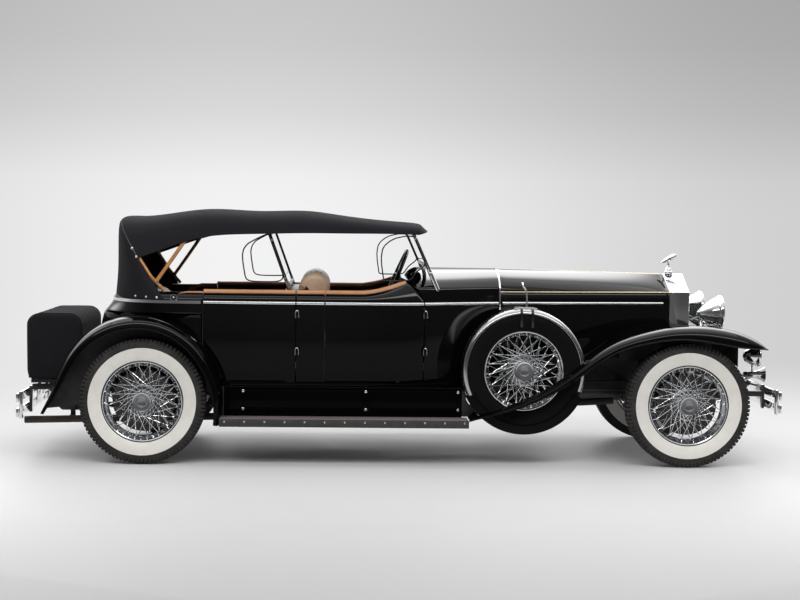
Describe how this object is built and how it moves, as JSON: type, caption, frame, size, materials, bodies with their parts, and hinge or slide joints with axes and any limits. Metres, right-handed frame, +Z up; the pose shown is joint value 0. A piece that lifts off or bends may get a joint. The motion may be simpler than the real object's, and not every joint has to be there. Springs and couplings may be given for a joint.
{
  "type": "open touring car",
  "caption": "Long open touring car with a raised cloth top, wire wheels, side-mounted spares, running boards, opening doors and steered front wheels.",
  "frame": {"origin": "on the ground under the middle of the car's length and width", "axes": "+X forward, +Y to the car's left, +Z up"},
  "size_m": [5.1, 1.732, 1.698],
  "materials": {
    "black_paint": "gloss black coach paint",
    "chassis_black": "black enamel on forged steel",
    "tyre": "rubber with white side walls",
    "chrome": "bright plate",
    "glass": "clear plate glass",
    "leather": "pleated tan leather",
    "wood": "varnished ash",
    "fabric": "black coated cloth",
    "engine_iron": "bare casting",
    "exhaust_steel": "heat-stained steel",
    "board_mat": "ribbed brown mat with a black edge",
    "wheel_rim_black": "black rim"
  },
  "bodies": {
    "car": {"chassis_rails": "chassis_black", "chassis_crossmembers": "chassis_black", "front_axle": "chassis_black", "rear_axle": "chassis_black", "springs": "chassis_black", "engine": "engine_iron", "exhaust": "exhaust_steel", "fuel_tank": "chassis_black", "floor": "wood", "cowl": "black_paint", "bulkheads": "wood", "partition": "wood", "tub_rear": "black_paint", "door_posts": "black_paint", "door_hinges": "chrome", "bonnet": "black_paint", "radiator_shell": "chrome", "radiator_shutters": "chrome", "radiator_cap": "chrome", "wings_front": "black_paint", "wings_rear": "black_paint", "spare_wells": "black_paint", "running_boards": "board_mat", "side_aprons": "black_paint", "lamp_bar": "chrome", "headlamps": "chrome", "driving_lamps": "chrome", "lamp_glass": "glass", "bumper_front": "chrome", "bumper_rear": "chrome", "spare_tyres": "tyre", "spare_wheels": "chrome", "trunk": "fabric", "trunk_rack": "chassis_black", "canopy": "fabric", "canopy_bows": "wood", "windscreen_frame": "chrome", "tonneau_screen_frame": "chrome", "screen_glass": "glass", "seat_cushions": "leather", "seat_backs": "leather", "steering_column": "chassis_black"},
    "knuckle_right": {"knuckle_right": "chassis_black"},
    "knuckle_left": {"knuckle_left": "chassis_black"},
    "tie_rod": {"tie_rod": "chassis_black"},
    "steering_wheel": {"steering_wheel": "wheel_rim_black"},
    "door_front_right": {"door_front_right": "black_paint"},
    "door_front_left": {"door_front_left": "black_paint"},
    "door_rear_right": {"door_rear_right": "black_paint"},
    "door_rear_left": {"door_rear_left": "black_paint"},
    "wheel_front_right": {"wheel_front_right": "chrome", "tyre_front_right": "tyre"},
    "wheel_front_left": {"wheel_front_left": "chrome", "tyre_front_left": "tyre"},
    "wheel_rear_right": {"wheel_rear_right": "chrome", "tyre_rear_right": "tyre"},
    "wheel_rear_left": {"wheel_rear_left": "chrome", "tyre_rear_left": "tyre"}
  },
  "joints": [
    {"name": "steer_right", "type": "hinge", "parent": "car", "child": "knuckle_right", "pos_m": [1.921, -0.61, 0.418], "axis": [0, 0, 1], "range_deg": [-32, 32]},
    {"name": "steer_left", "type": "hinge", "parent": "car", "child": "knuckle_left", "pos_m": [1.921, 0.61, 0.418], "axis": [0, 0, 1], "range_deg": [-32, 32]},
    {"name": "tie_rod_swing", "type": "hinge", "parent": "knuckle_right", "child": "tie_rod", "pos_m": [1.756, -0.61, 0.321], "axis": [0, 0, 1], "range_deg": [-32, 32]},
    {"name": "steering_wheel_turn", "type": "hinge", "parent": "car", "child": "steering_wheel", "pos_m": [-0.017, 0.33, 1.214], "axis": [-0.9178, 0, 0.3969], "range_deg": [-448, 448]},
    {"name": "door_front_right_swing", "type": "hinge", "parent": "car", "child": "door_front_right", "pos_m": [0.147, -0.66108, 0.85], "axis": [0, 0, 1], "range_deg": [0, 70]},
    {"name": "door_rear_right_swing", "type": "hinge", "parent": "car", "child": "door_rear_right", "pos_m": [-0.715, -0.7218, 0.85], "axis": [0, 0, 1], "range_deg": [0, 70]},
    {"name": "wheel_front_right_spin", "type": "hinge", "parent": "knuckle_right", "child": "wheel_front_right", "pos_m": [1.921, -0.72, 0.418], "axis": [0, 1, 0], "continuous": true},
    {"name": "wheel_rear_right_spin", "type": "hinge", "parent": "car", "child": "wheel_rear_right", "pos_m": [-1.724, -0.72, 0.418], "axis": [0, 1, 0], "continuous": true},
    {"name": "door_front_left_swing", "type": "hinge", "parent": "car", "child": "door_front_left", "pos_m": [0.147, 0.66108, 0.85], "axis": [0, 0, -1], "range_deg": [0, 70]},
    {"name": "door_rear_left_swing", "type": "hinge", "parent": "car", "child": "door_rear_left", "pos_m": [-0.715, 0.7218, 0.85], "axis": [0, 0, -1], "range_deg": [0, 70]},
    {"name": "wheel_front_left_spin", "type": "hinge", "parent": "knuckle_left", "child": "wheel_front_left", "pos_m": [1.921, 0.72, 0.418], "axis": [0, 1, 0], "continuous": true},
    {"name": "wheel_rear_left_spin", "type": "hinge", "parent": "car", "child": "wheel_rear_left", "pos_m": [-1.724, 0.72, 0.418], "axis": [0, 1, 0], "continuous": true}
  ],
  "couplings": [
    {"joint": "steer_left", "follows": "steer_right", "ratio": 1},
    {"joint": "tie_rod_swing", "follows": "steer_right", "ratio": -1},
    {"joint": "steering_wheel_turn", "follows": "steer_right", "ratio": 14}
  ]
}
